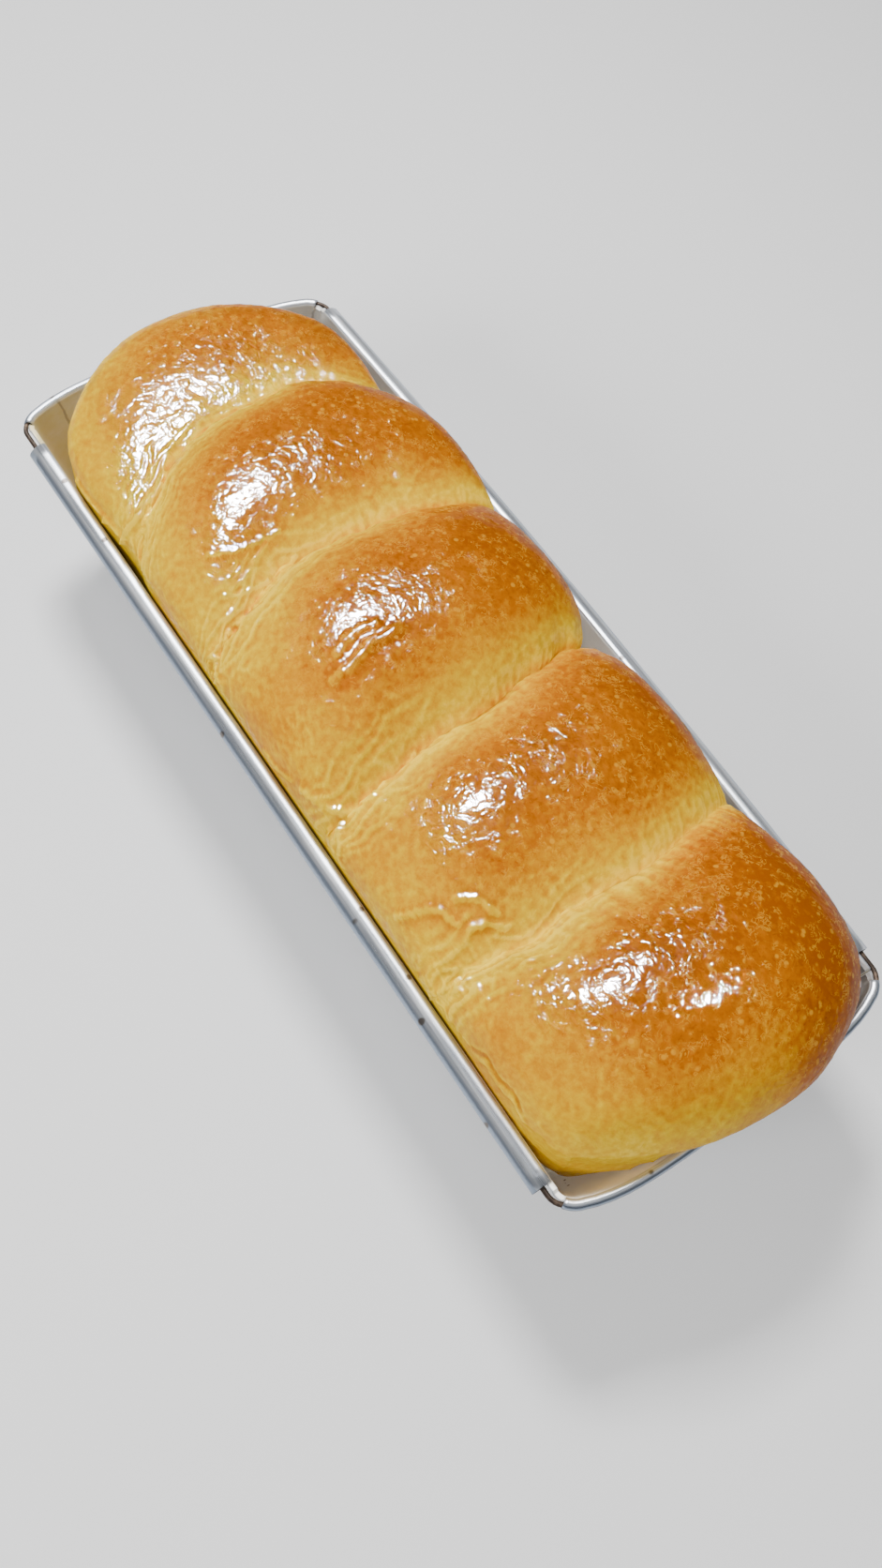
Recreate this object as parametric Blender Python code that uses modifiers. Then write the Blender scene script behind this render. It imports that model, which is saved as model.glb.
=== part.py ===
"""A tin loaf: five rolls of milk dough baked together into one loaf, in its long folded tin.

Sizes are in millimetres and turn into metres where the meshes are made.
+X runs along the tin, +Y across it and +Z up. The origin is the middle of the tin's underside.
"""

import math

import bmesh
import bpy

MM = 0.001

# The tin: a sheet folded up from a flat floor, its walls leaning out towards the rim
SHEET = 0.6
RIM_Z = 72.0
FLOOR_HALF_LENGTH = 143.0
FLOOR_HALF_WIDTH = 42.0
RIM_HALF_LENGTH = 156.5
RIM_HALF_WIDTH = 58.8
FLOOR_FILLET = 3.0
CORNER_RADIUS = 3.5

# The end walls bow outwards between the corners, and one long side bows a little
NEAR_BOW = 9.1
FAR_BOW = 8.4
FLOOR_BOW = 2.0
BOW_SPAN = 62.7
BOW_POWER = 5.0
SIDE_BOW = 2.6

# The long rims: a flattened roll of the sheet, its outer edge hanging lower, short of the corners
ROLL_HALF_WIDTH = 3.5
ROLL_HALF_THICKNESS = 2.0
ROLL_TILT = math.radians(30.0)
ROLL_OPEN_ANGLE = math.radians(-135.0)
ROLL_STEPS = 11
LEFT_ROLL_ENDS = (-147.5, 153.0)
RIGHT_ROLL_ENDS = (-153.5, 150.0)

# The end rims: a narrow round hem
HEM_RADIUS = 1.75
HEM_OPEN_ANGLE = math.radians(-115.0)
HEM_STEPS = 8

# The corner flaps lie flat on the outside of the end walls, under the hem
FLAP_LOW = 6.0
FLAP_HIGH = 26.0
FLAP_STEP = 0.5
FLAP_BOTTOM_Z = 4.4
FLAP_TOP_Z = 67.4

# How finely the sheet is divided: along a side, across an end, round a corner and up a flap
SIDE_STEPS = 12
MIDDLE_STEPS = 8
CORNER_STEPS = 3
FLAP_ROWS = 3
FLAP_COLUMNS = 3
FOOT_BEND = 0.3
SMOOTH_ANGLE = math.radians(32.0)

# The wire that the rims are rolled round
WIRE_RADIUS = 0.85
WIRE_CORNER_X = 160.2
WIRE_CORNER_Y = 62.2
WIRE_SIDE_LENGTH = 156.0
WIRE_END_WIDTH = 59.5
WIRE_BEND_OUT_SIDE = 3.0
WIRE_BEND_OUT_END = 0.9
WIRE_TURN_MARGIN = 1.0

# The loaf: height above the rim of its widest line, and its gap to the sheet
WIDEST_ABOVE_RIM = 9.0
LOAF_GAP = 0.6
LOAF_CORNER = 10.0
RIM_CLEAR = 3.4
LOAF_FOOT_FILLET = 4.0
CROWN_POWER = 2.3
SWELL_POWER = 2.1
SWELL_ROOT = 1.6
STATIONS = 12
ARC_STEPS = 28
BULGE_LEVELS = (0.6, 0.25)
SKIRT_LEVELS = (0.9, 0.5)

# Each fold between two rolls: x at the right side, at the top and at the left side,
# half width on the right and on the left, and height above the rim
FAR_END = (-151.0, -169.5, -151.0, 26.0, 35.0, WIDEST_ABOVE_RIM)
FOLDS = (
    (-94.0, -114.0, -80.0, 51.0, 56.0, 19.0),
    (-37.0, -50.0, -31.0, 55.0, 57.5, 18.0),
    (22.0, 27.0, 36.0, 47.0, 57.3, 17.5),
    (92.0, 96.0, 95.0, 53.0, 57.6, 18.5),
)
NEAR_END = (164.0, 172.6, 152.0, 40.0, 51.0, WIDEST_ABOVE_RIM)

# Each roll of dough: half width on the right and on the left, and height above the rim
ROLLS = (
    (53.0, 57.4, 24.5),
    (60.3, 57.6, 32.0),
    (57.6, 57.7, 38.5),
    (58.0, 57.6, 34.0),
    (57.8, 57.9, 39.0),
)

# Surfaces
CRUST_COLOUR = (0.78, 0.36, 0.06, 1.0)
SHEET_COLOUR = (0.72, 0.75, 0.78, 1.0)
WIRE_COLOUR = (0.09, 0.06, 0.05, 1.0)


def clear_scene():
    """Remove every object that the scene starts with."""
    for item in list(bpy.data.objects):
        bpy.data.objects.remove(item, do_unlink=True)


def mix(start, end, share):
    """Return the value that lies a share of the way from start to end."""
    return start + (end - start) * share


def make_material(name, colour, roughness, metallic):
    """Return a plain material with one Principled shader."""
    material = bpy.data.materials.new(name)
    material.use_nodes = True
    shader = material.node_tree.nodes["Principled BSDF"]
    shader.inputs["Base Color"].default_value = colour
    shader.inputs["Roughness"].default_value = roughness
    shader.inputs["Metallic"].default_value = metallic
    return material


def add_mesh_object(name, form, material, collection):
    """Turn a bmesh, whose sizes are in millimetres, into a named object."""
    bmesh.ops.scale(form, vec=(MM, MM, MM), verts=form.verts)
    mesh = bpy.data.meshes.new(name)
    form.to_mesh(mesh)
    form.free()
    mesh.materials.append(material)
    item = bpy.data.objects.new(name, mesh)
    collection.objects.link(item)
    return item


def level_at(z):
    """Return how far up the wall a height is: 0 at the floor, 1 at the rim."""
    return min(max((z - SHEET) / (RIM_Z - SHEET), 0.0), 1.0)


def wall_half_width(x, z, right):
    """Return the inner face's distance from the middle line on one long side."""
    level = level_at(z)
    bow = SIDE_BOW * level * (1.0 - (x / RIM_HALF_LENGTH) ** 2) if right else 0.0
    return mix(FLOOR_HALF_WIDTH, RIM_HALF_WIDTH, level) + max(bow, 0.0)


def wall_half_length(y, z, near):
    """Return the inner face's distance from the middle on one end wall."""
    level = level_at(z)
    bow = mix(FLOOR_BOW, NEAR_BOW if near else FAR_BOW, level)
    swell = 1.0 - min(abs(y) / BOW_SPAN, 1.0) ** BOW_POWER
    return mix(FLOOR_HALF_LENGTH, RIM_HALF_LENGTH, level) + bow * swell


def side_columns(z, right):
    """Return the x of each column along one long side, from the near corner to the far one."""
    low, high = RIGHT_ROLL_ENDS if right else LEFT_ROLL_ENDS
    half_width = mix(FLOOR_HALF_WIDTH, RIM_HALF_WIDTH, level_at(z))
    scale = mix(FLOOR_HALF_LENGTH / RIM_HALF_LENGTH, 1.0, level_at(z))
    middle = [mix(high, low, step / SIDE_STEPS) * scale for step in range(SIDE_STEPS + 1)]
    near = wall_half_length(half_width, z, True) - CORNER_RADIUS
    far = wall_half_length(half_width, z, False) - CORNER_RADIUS
    return [near] + middle + [-far]


def end_columns(z):
    """Return the y of each column across an end wall, from +Y to -Y, with the flaps' edges."""
    level = level_at(z)
    half_width = mix(FLOOR_HALF_WIDTH, RIM_HALF_WIDTH, level)
    start = half_width - CORNER_RADIUS
    edge = half_width - mix(FLAP_LOW, FLAP_HIGH, level)
    flap = [mix(start, edge, step / (FLAP_COLUMNS - 1)) for step in range(FLAP_COLUMNS)]
    inner = edge - FLAP_STEP
    middle = [mix(inner, -inner, step / MIDDLE_STEPS) for step in range(MIDDLE_STEPS + 1)]
    return flap + middle + [-y for y in reversed(flap)]


def rounded_corner(start, control, end):
    """Return the points between two neighbours that round a corner off, without its ends."""
    points = []
    for step in range(1, CORNER_STEPS):
        share = step / CORNER_STEPS
        ahead, behind = share * share, (1.0 - share) ** 2
        middle = 2.0 * share * (1.0 - share)
        points.append(tuple(behind * a + middle * b + ahead * c for a, b, c in zip(start, control, end)))
    return points


def wall_outline(z, inset=0.0):
    """Return the inner face's outline at a height, seen from above, with each point's kind.

    It runs anticlockwise from the near end of the right side. A kind is side, flap, end or corner.
    """
    half_width = mix(FLOOR_HALF_WIDTH, RIM_HALF_WIDTH, level_at(z))
    sides, ends = {}, {}
    for right in (True, False):
        sign = 1.0 if right else -1.0
        sides[right] = [(x, sign * wall_half_width(x, z, right)) for x in side_columns(z, right)]
    for near in (True, False):
        sign = 1.0 if near else -1.0
        ends[near] = [(sign * wall_half_length(y, z, near), y) for y in end_columns(z)]
    runs = (
        ("side", sides[True]),
        ("end", ends[False]),
        ("side", sides[False][::-1]),
        ("end", ends[True][::-1]),
    )
    outline = []
    for index, (kind, run) in enumerate(runs):
        following = runs[(index + 1) % len(runs)][1]
        for place, point in enumerate(run):
            is_flap = kind == "end" and min(place, len(run) - 1 - place) < FLAP_COLUMNS
            outline.append((point, "flap" if is_flap else kind))
        near = run[-1][0] > 0.0
        sign_x = 1.0 if near else -1.0
        sign_y = 1.0 if run[-1][1] > 0.0 else -1.0
        control = (sign_x * wall_half_length(half_width, z, near), sign_y * half_width)
        outline += [(point, "corner") for point in rounded_corner(run[-1], control, following[0])]
    if inset:
        normals = outward_normals([point for point, _ in outline])
        outline = [((point[0] - inset * n[0], point[1] - inset * n[1]), kind)
                   for (point, kind), n in zip(outline, normals)]
    return outline


def outward_normals(points):
    """Return the outward direction, seen from above, at each point of an anticlockwise loop."""
    normals = []
    for index, _ in enumerate(points):
        before, after = points[index - 1], points[(index + 1) % len(points)]
        run_x, run_y = after[0] - before[0], after[1] - before[1]
        length = math.hypot(run_x, run_y)
        normals.append((run_y / length, -run_x / length))
    return normals


def roll_section():
    """Return the long rim's rolled section as outward and upward steps from the wall's top."""
    start = math.pi + math.atan2(ROLL_HALF_THICKNESS * math.sin(ROLL_TILT),
                                 ROLL_HALF_WIDTH * math.cos(ROLL_TILT))
    points = []
    for step in range(ROLL_STEPS + 1):
        angle = mix(start, ROLL_OPEN_ANGLE, step / ROLL_STEPS)
        along, across = ROLL_HALF_WIDTH * math.cos(angle), ROLL_HALF_THICKNESS * math.sin(angle)
        points.append((along * math.cos(ROLL_TILT) + across * math.sin(ROLL_TILT),
                       across * math.cos(ROLL_TILT) - along * math.sin(ROLL_TILT)))
    return points


def hem_section():
    """Return the end rim's round section as outward and upward steps from the wire's middle."""
    angles = [mix(math.pi, HEM_OPEN_ANGLE, step / HEM_STEPS) for step in range(HEM_STEPS + 1)]
    return [(HEM_RADIUS * math.cos(angle), HEM_RADIUS * math.sin(angle)) for angle in angles]


def bridge_rows(form, lower, upper, closed):
    """Join two rows of vertices with faces, all the way round where the rows are closed."""
    count = len(lower) if closed else len(lower) - 1
    for index in range(count):
        after = (index + 1) % len(lower)
        form.faces.new((lower[index], lower[after], upper[after], upper[index]))


def curl_rim(form, row, outline, normals, section):
    """Roll the sheet outwards from one stretch of the wall's top row."""
    start_out, start_up = section[0]
    previous = row
    for out, up in section[1:]:
        current = []
        for vertex, point, normal in zip(row, outline, normals):
            current.append(form.verts.new((point[0] + (out - start_out) * normal[0],
                                           point[1] + (out - start_out) * normal[1],
                                           vertex.co.z + up - start_up)))
        bridge_rows(form, previous, current, closed=False)
        previous = current


def rim_stretches(outline):
    """Return the index lists of the four rim stretches that are rolled or hemmed."""
    stretches = []
    for kinds, trim in ((("side",), 1), (("end", "flap"), 0)):
        members = [index for index, (_, kind) in enumerate(outline) if kind in kinds]
        run = [members[0]]
        for index in members[1:] + [None]:
            if index is not None and index == run[-1] + 1:
                run.append(index)
                continue
            stretches.append((kinds[0], run[trim:len(run) - trim]))
            run = [index]
    return stretches


def build_tin(material, collection):
    """Build the folded sheet: floor, walls, corner flaps, long rolls and end hems."""
    form = bmesh.new()
    deform = form.verts.layers.deform.verify()
    plain, doubled = 0.5, 1.0
    rolled, hemmed = roll_section(), hem_section()
    heights = [(SHEET, FLOOR_FILLET),
               (SHEET + FLOOR_FILLET * FOOT_BEND, FLOOR_FILLET * FOOT_BEND),
               (SHEET + FLOOR_FILLET, 0.0)]
    heights += [(mix(FLAP_BOTTOM_Z, FLAP_TOP_Z, step / FLAP_ROWS), 0.0) for step in range(FLAP_ROWS + 1)]
    heights += [(FLAP_TOP_Z + FLAP_STEP, 0.0), (RIM_Z, 0.0)]
    rows = []
    for z, inset in heights:
        row = []
        for point, kind in wall_outline(z, inset):
            lift = rolled[0][1] if kind == "side" and z == RIM_Z else 0.0
            vertex = form.verts.new((point[0], point[1], z + lift))
            on_flap = kind == "flap" and FLAP_BOTTOM_Z <= z <= FLAP_TOP_Z
            vertex[deform][0] = doubled if on_flap else plain
            row.append(vertex)
        rows.append(row)
    form.faces.new(rows[0])
    for lower, upper in zip(rows, rows[1:]):
        bridge_rows(form, lower, upper, closed=True)
    outline = wall_outline(RIM_Z)
    points = [point for point, _ in outline]
    normals = outward_normals(points)
    for kind, members in rim_stretches(outline):
        section = rolled if kind == "side" else hemmed
        curl_rim(form, [rows[-1][i] for i in members], [points[i] for i in members],
                 [normals[i] for i in members], section)
    for vertex in form.verts:
        if 0 not in vertex[deform].keys():
            vertex[deform][0] = plain
    bmesh.ops.recalc_face_normals(form, faces=form.faces)
    floor_face = min(form.faces, key=lambda face: face.calc_center_median().z)
    if floor_face.normal.z > 0.0:
        bmesh.ops.reverse_faces(form, faces=form.faces)
    tin = add_mesh_object("tin", form, material, collection)
    tin.vertex_groups.new(name="sheet_thickness")
    solid = tin.modifiers.new("sheet", "SOLIDIFY")
    solid.thickness = SHEET / plain * MM
    solid.offset = 1.0
    solid.use_even_offset = True
    solid.vertex_group = "sheet_thickness"
    flatten_underside(tin)
    tin.data.shade_smooth()
    tin.data.set_sharp_from_angle(angle=SMOOTH_ANGLE)
    return tin


def flatten_underside(tin):
    """Keep the thickened sheet as the tin's own mesh, with its underside on the ground plane."""
    graph = bpy.context.evaluated_depsgraph_get()
    sheet = bpy.data.meshes.new_from_object(tin.evaluated_get(graph), depsgraph=graph)
    tin.modifiers.clear()
    tin.data = sheet
    form = bmesh.new()
    form.from_mesh(sheet)
    underside = min(form.faces, key=lambda face: face.calc_center_median().z)
    for vertex in underside.verts:
        vertex.co.z = 0.0
    form.to_mesh(sheet)
    form.free()


def wire_centre_line():
    """Return the points of the rim wire's middle, a closed loop seen from above."""
    outline = wall_outline(RIM_Z)
    points = [point for point, _ in outline]
    normals = outward_normals(points)
    out_of_roll = -roll_section()[0][0]
    route = []
    for index, (point, kind) in enumerate(outline):
        if kind == "corner":
            continue
        reach = out_of_roll if kind == "side" else HEM_RADIUS
        place = (point[0] + reach * normals[index][0], point[1] + reach * normals[index][1])
        inside = abs(place[0]) < WIRE_SIDE_LENGTH if kind == "side" else abs(place[1]) < WIRE_END_WIDTH
        if inside:
            route.append(place)
    return round_wire_corners(route)


def round_wire_corners(route):
    """Return the route with a rounded bend added where it turns from a side to an end."""
    finished = []
    for index, place in enumerate(route):
        following = route[(index + 1) % len(route)]
        finished.append(place)
        on_side = abs(place[1]) > WIRE_END_WIDTH + WIRE_TURN_MARGIN
        on_side_after = abs(following[1]) > WIRE_END_WIDTH + WIRE_TURN_MARGIN
        if on_side == on_side_after:
            continue
        bend = [(WIRE_SIDE_LENGTH, RIM_HALF_WIDTH + WIRE_BEND_OUT_SIDE),
                (WIRE_CORNER_X, WIRE_CORNER_Y),
                (WIRE_CORNER_X + WIRE_BEND_OUT_END, WIRE_END_WIDTH)]
        bend = [(math.copysign(x, place[0]), math.copysign(y, place[1])) for x, y in bend]
        start, control, finish = bend if on_side else bend[::-1]
        finished += [start] + rounded_corner(start, control, finish) + [finish]
    return finished


def build_wire(material, collection):
    """Build the closed wire that shows at the tin's four corners."""
    curve = bpy.data.curves.new("rim_wire", "CURVE")
    curve.dimensions = "3D"
    curve.bevel_depth = WIRE_RADIUS * MM
    curve.bevel_resolution = 2
    route = wire_centre_line()
    spline = curve.splines.new("POLY")
    spline.points.add(len(route) - 1)
    for point, place in zip(spline.points, route):
        point.co = (place[0] * MM, place[1] * MM, RIM_Z * MM, 1.0)
    spline.use_cyclic_u = True
    curve.materials.append(material)
    wire = bpy.data.objects.new("rim_wire", curve)
    collection.objects.link(wire)
    return wire


def across_x(station, turn):
    """Return the x of a fold or an end at a turn, from 1 at the right side to -1 at the left."""
    right, top, left = station[:3]
    return top + (right - left) / 2.0 * turn + ((right + left) / 2.0 - top) * turn * turn


def crown_point(roll, share, angle):
    """Return a point on one roll's crown.

    The share runs from the roll's far fold to its near one, and the angle from the right
    side, at 0, over the top to the left side, at pi.
    """
    stations = (FAR_END,) + FOLDS + (NEAR_END,)
    far, near = stations[roll], stations[roll + 1]
    swell = max(1.0 - abs(2.0 * share - 1.0) ** SWELL_POWER, 0.0) ** (1.0 / SWELL_ROOT)
    turn = math.cos(angle)
    x = mix(across_x(far, turn), across_x(near, turn), share)
    right_width, left_width, top = (
        mix(mix(a, b, share), full, swell) for a, b, full in zip(far[3:], near[3:], ROLLS[roll]))
    width = right_width if turn > 0.0 else left_width
    y = width * math.copysign(abs(turn) ** (2.0 / CROWN_POWER), turn)
    rise = (top - WIDEST_ABOVE_RIM) * math.sin(angle) ** (2.0 / CROWN_POWER)
    return (x, y, RIM_Z + WIDEST_ABOVE_RIM + rise)


def crown_rings():
    """Return the rings of the crown's points, from the loaf's far end to its near end."""
    angles = [math.pi * step / ARC_STEPS for step in range(ARC_STEPS + 1)]
    rings = []
    for roll in range(len(ROLLS)):
        first = 0 if roll == 0 else 1
        for step in range(first, STATIONS + 1):
            share = (1.0 - math.cos(math.pi * step / STATIONS)) / 2.0
            rings.append([crown_point(roll, share, max(angle, 0.0)) for angle in angles])
    return rings


def inside_tin(point, z):
    """Return a point of the widest line, moved in where it would pass the tin's wall."""
    x, y = point[:2]
    half_width = wall_half_width(x, z, y > 0.0) - LOAF_GAP
    half_length = wall_half_length(y, z, x > 0.0) - LOAF_GAP
    across, along = min(abs(y), half_width), min(abs(x), half_length)
    past_x = along - (half_length - LOAF_CORNER)
    past_y = across - (half_width - LOAF_CORNER)
    past = math.hypot(past_x, past_y)
    if past_x > 0.0 and past_y > 0.0 and past > LOAF_CORNER:
        along -= past_x * (1.0 - LOAF_CORNER / past)
        across -= past_y * (1.0 - LOAF_CORNER / past)
    return (math.copysign(along, x), math.copysign(across, y))


def skirt_row(edge, z, inset=0.0):
    """Return the loaf's outline at a height below its widest line."""
    clear_z = RIM_Z + RIM_CLEAR
    pressed = [inside_tin(point, min(z, RIM_Z)) for point in edge]
    if z > clear_z:
        share = (z - clear_z) / (WIDEST_ABOVE_RIM - RIM_CLEAR)
        bulge = math.sin(share * math.pi / 2.0)
        pressed = [(mix(p[0], q[0], bulge), mix(p[1], q[1], bulge)) for p, q in zip(pressed, edge)]
    scale_x = 1.0 - inset / FLOOR_HALF_LENGTH
    scale_y = 1.0 - inset / FLOOR_HALF_WIDTH
    return [(x * scale_x, y * scale_y, z) for x, y in pressed]


def build_loaf(material, collection):
    """Build the loaf: five crowns in one, a skirt down into the tin and a flat foot."""
    form = bmesh.new()
    rings = [[form.verts.new(point) for point in ring] for ring in crown_rings()]
    for lower, upper in zip(rings, rings[1:]):
        bridge_rows(form, lower, upper, closed=False)
    loop = ([ring[0] for ring in rings] + rings[-1][1:-1]
            + [ring[-1] for ring in reversed(rings)] + rings[0][-2:0:-1])
    edge = [tuple(vertex.co) for vertex in loop]
    foot_z = SHEET + LOAF_GAP
    heights = [(RIM_Z + mix(RIM_CLEAR, WIDEST_ABOVE_RIM, level), 0.0) for level in BULGE_LEVELS]
    heights += [(RIM_Z + RIM_CLEAR, 0.0)]
    heights += [(RIM_Z * level, 0.0) for level in SKIRT_LEVELS]
    heights += [(foot_z + LOAF_FOOT_FILLET, 0.0),
                (foot_z + LOAF_FOOT_FILLET * FOOT_BEND, LOAF_FOOT_FILLET * FOOT_BEND),
                (foot_z, LOAF_FOOT_FILLET)]
    previous = loop
    for z, inset in heights:
        current = [form.verts.new(point) for point in skirt_row(edge, z, inset)]
        bridge_rows(form, previous, current, closed=True)
        previous = current
    form.faces.new(previous)
    bmesh.ops.recalc_face_normals(form, faces=form.faces)
    for face in form.faces:
        face.smooth = True
    return add_mesh_object("loaf", form, material, collection)


def main():
    """Build the loaf, its tin and the wire in the tin's rim."""
    clear_scene()
    collection = bpy.data.collections.new("tin_loaf")
    bpy.context.scene.collection.children.link(collection)
    crust = make_material("crust", CRUST_COLOUR, 0.35, 0.0)
    sheet = make_material("tin_sheet", SHEET_COLOUR, 0.35, 1.0)
    dark_wire = make_material("dark_wire", WIRE_COLOUR, 0.5, 0.8)
    build_tin(sheet, collection)
    build_wire(dark_wire, collection)
    build_loaf(crust, collection)


main()
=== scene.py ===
"""A tin loaf: a glossy milk loaf of five risen rolls, in its long folded sheet-metal tin.

Sizes are in millimetres and turn into metres where a mesh is finished. +X runs along the tin,
+Y across it and +Z up, and the origin is the middle of the tin's underside.
"""

import logging
import math
from dataclasses import dataclass, field
from enum import Enum

import bmesh
import bpy
from bmesh.types import BMesh, BMVert
from bpy.types import Material, Node, NodeSocket, Object
from mathutils import Matrix, Vector, kdtree, noise


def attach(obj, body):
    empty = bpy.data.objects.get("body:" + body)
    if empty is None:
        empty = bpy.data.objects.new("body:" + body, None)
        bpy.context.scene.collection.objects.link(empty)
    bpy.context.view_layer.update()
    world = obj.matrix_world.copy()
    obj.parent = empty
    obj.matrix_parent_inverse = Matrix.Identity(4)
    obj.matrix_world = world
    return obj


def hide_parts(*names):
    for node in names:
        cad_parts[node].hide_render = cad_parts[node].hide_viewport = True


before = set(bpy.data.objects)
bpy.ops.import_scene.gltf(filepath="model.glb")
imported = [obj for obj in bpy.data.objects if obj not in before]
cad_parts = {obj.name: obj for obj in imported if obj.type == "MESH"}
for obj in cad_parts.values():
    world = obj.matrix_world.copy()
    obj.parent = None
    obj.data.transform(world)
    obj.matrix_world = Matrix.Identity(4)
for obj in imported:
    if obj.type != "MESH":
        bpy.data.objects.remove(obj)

MM = 0.001

log = logging.getLogger("tin_loaf")


def mix(start: float, end: float, share: float) -> float:
    """Return the value that lies a share of the way from start to end."""
    return start + (end - start) * share


def ramp(value: float, low: float, high: float) -> float:
    """Return 0 below low and 1 above high, with a smooth change between.

    Args:
        value: The value to place.
        low: Where the change starts.
        high: Where it ends. It may be less than low.

    Returns:
        A share from 0 to 1.
    """
    share = min(max((value - low) / (high - low), 0.0), 1.0)
    return share * share * (3.0 - 2.0 * share)


def bell(distance: float, width: float) -> float:
    """Return a bell curve's height, 1 at no distance and about a third at the width."""
    return math.exp(-(distance / width) ** 2)


def extrude_run(form: BMesh, run: list, places: list, closed: bool) -> list:
    """Extrude a run of vertices to new places.

    Args:
        form: The mesh being shaped.
        run: The vertices, each joined to the next by an edge.
        places: The new vertices' places, in the same order.
        closed: Whether the last vertex is joined to the first.

    Returns:
        The new vertices, in the order of the old ones.
    """
    pairs = list(zip(run, run[1:])) + ([(run[-1], run[0])] if closed else [])
    edges = [form.edges.get(pair) for pair in pairs]
    made = bmesh.ops.extrude_edge_only(form, edges=edges)["geom"]
    old = set(run)
    partner = {}
    for item in made:
        if isinstance(item, BMVert):
            for edge in item.link_edges:
                if edge.other_vert(item) in old:
                    partner[edge.other_vert(item)] = item
    fresh = [partner[vertex] for vertex in run]
    for vertex, place in zip(fresh, places):
        vertex.co = place
    return fresh


def add_object(name: str, data: bpy.types.ID) -> Object:
    """Put a new object with this data in the scene."""
    made = bpy.data.objects.new(name, data)
    bpy.context.scene.collection.objects.link(made)
    return made


def finish_mesh(name: str, form: BMesh, material: Material, replaced: str) -> Object:
    """Turn a bmesh in millimetres into a piece that rides on the part.

    Args:
        name: The piece's name.
        form: The mesh, which is used up.
        material: The piece's finish.
        replaced: The node that the piece stands for.

    Returns:
        The new object.
    """
    bmesh.ops.scale(form, vec=(MM, MM, MM), verts=form.verts)
    mesh = bpy.data.meshes.new(name)
    form.to_mesh(mesh)
    form.free()
    mesh.materials.append(material)
    mesh.shade_smooth()
    piece = add_object(name, mesh)
    declare(piece, replaced)
    return piece


def declare(piece: Object, replaced: str) -> None:
    """Say which body the piece rides on and which node it replaces."""
    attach(piece, "root")
    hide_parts(replaced)
    log.info("%s stands for %s", piece.name, replaced)


class Nodes:
    """A material with a short way to lay out its nodes."""

    def __init__(self, name: str) -> None:
        """Start a material that has one Principled shader."""
        self.material = bpy.data.materials.new(name)
        self.material.use_nodes = True
        self.tree = self.material.node_tree
        self.shader = self.tree.nodes["Principled BSDF"]

    def add(self, kind: str, inputs: dict, **settings) -> Node:
        """Add a node.

        Args:
            kind: The node's type.
            inputs: Values or sockets for its inputs, by name or by number.
            **settings: The node's own settings.

        Returns:
            The new node.
        """
        node = self.tree.nodes.new(kind)
        for key, value in settings.items():
            setattr(node, key, value)
        self.feed(node, inputs)
        return node

    def feed(self, node: Node, inputs: dict) -> None:
        """Set or link a node's inputs."""
        for key, value in inputs.items():
            if isinstance(value, NodeSocket):
                self.tree.links.new(value, node.inputs[key])
            else:
                node.inputs[key].default_value = value

    def place(self, stretch: tuple = (1.0, 1.0, 1.0)) -> NodeSocket:
        """Return the object's own coordinates, stretched along each axis."""
        place = self.add("ShaderNodeTexCoord", {}).outputs["Object"]
        return self.add("ShaderNodeMapping", {"Vector": place, "Scale": stretch}).outputs["Vector"]

    def attribute(self, name: str, output: str = "Fac") -> NodeSocket:
        """Return what the mesh holds at each point under a name, a number unless said otherwise."""
        return self.add("ShaderNodeAttribute", {}, attribute_name=name).outputs[output]

    def noise(self, place: NodeSocket, scale: float, detail: float = 3.0,
              roughness: float = 0.5, distortion: float = 0.0) -> NodeSocket:
        """Return a noise pattern from 0 to 1, with the scale in lumps a metre."""
        return self.add("ShaderNodeTexNoise",
                        {"Vector": place, "Scale": scale, "Detail": detail,
                         "Roughness": roughness, "Distortion": distortion}).outputs["Fac"]

    def cells(self, place: NodeSocket, scale: float) -> NodeSocket:
        """Return the distance to the middle of the nearest cell, with the scale in cells a metre."""
        return self.add("ShaderNodeTexVoronoi", {"Vector": place, "Scale": scale}).outputs["Distance"]

    def math(self, operation: str, first, second=0.0, clamp: bool = False) -> NodeSocket:
        """Return the result of a sum on two values or sockets."""
        return self.add("ShaderNodeMath", {0: first, 1: second}, operation=operation,
                        use_clamp=clamp).outputs[0]

    def span(self, value, low: float, high: float, out_low: float = 0.0,
             out_high: float = 1.0) -> NodeSocket:
        """Return a value smoothly mapped from one range to another."""
        return self.add("ShaderNodeMapRange", {0: value, 1: low, 2: high, 3: out_low, 4: out_high},
                        interpolation_type="SMOOTHSTEP").outputs[0]

    def lines(self, value: NodeSocket, width: float) -> NodeSocket:
        """Return thin curling lines, where a noise pattern crosses its middle value."""
        off = self.math("ABSOLUTE", self.math("SUBTRACT", value, 0.5))
        return self.span(off, width, 0.0)

    def blend(self, share, first, second) -> NodeSocket:
        """Return the mix of two colours by a share."""
        return self.add("ShaderNodeMix", {0: share, 6: first, 7: second}, data_type="RGBA").outputs[2]

    def colours(self, value: NodeSocket, stops: tuple) -> NodeSocket:
        """Return a colour from stops of a place and a colour."""
        node = self.add("ShaderNodeValToRGB", {"Fac": value})
        elements = node.color_ramp.elements
        while len(elements) < len(stops):
            elements.new(0.5)
        for element, (place, colour) in zip(elements, stops):
            element.position = place
            element.color = (*colour, 1.0)
        return node.outputs["Color"]

    def bump(self, height: NodeSocket, depth: float, strength: float = 1.0,
             base: NodeSocket | None = None) -> NodeSocket:
        """Return a normal with a height pattern on it, the depth in metres."""
        inputs = {"Height": height, "Distance": depth, "Strength": strength}
        if base is not None:
            inputs["Normal"] = base
        return self.add("ShaderNodeBump", inputs).outputs["Normal"]


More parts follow.
